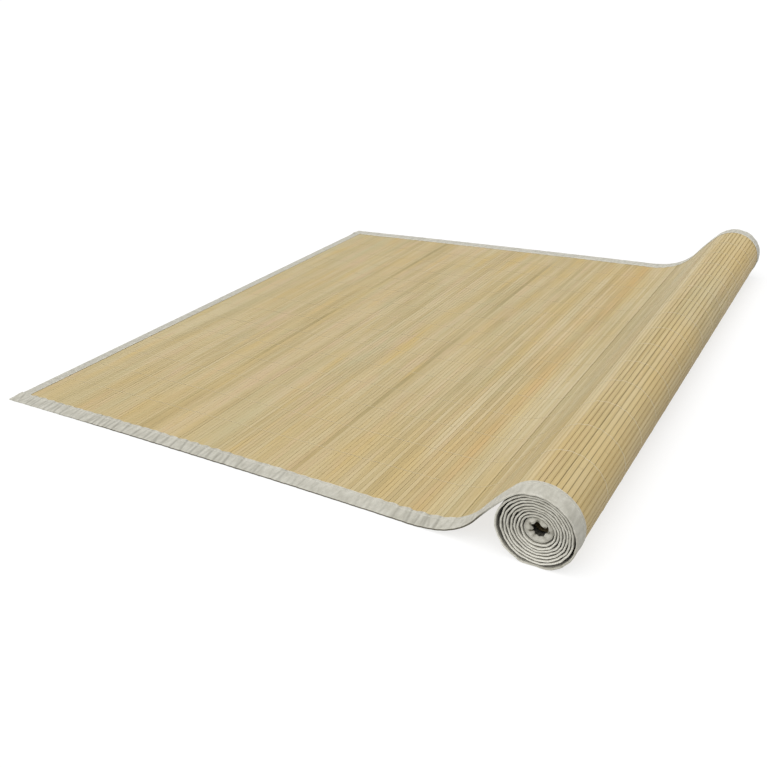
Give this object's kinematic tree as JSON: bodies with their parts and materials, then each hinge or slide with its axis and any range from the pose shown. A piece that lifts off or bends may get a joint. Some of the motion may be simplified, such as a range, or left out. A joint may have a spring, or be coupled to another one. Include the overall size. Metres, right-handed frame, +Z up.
{
  "type": "bamboo rug",
  "caption": "Bamboo slat rug with sewn fabric binding, lying open at one end and wound into a roll at the other.",
  "frame": {"origin": "on the floor, under the middle of the rug as it lies", "axes": "+X along the rug's length from its free end to the roll, +Y along the slats, +Z up"},
  "size_m": [0.738, 0.8, 0.0719],
  "materials": {
    "bamboo": "satin",
    "binding_tape": "matte"
  },
  "bodies": {
    "root": {"slat_cloth": "bamboo", "binding_front": "binding_tape", "binding_back": "binding_tape", "binding_free_end": "binding_tape", "binding_core_end": "binding_tape"}
  },
  "joints": []
}
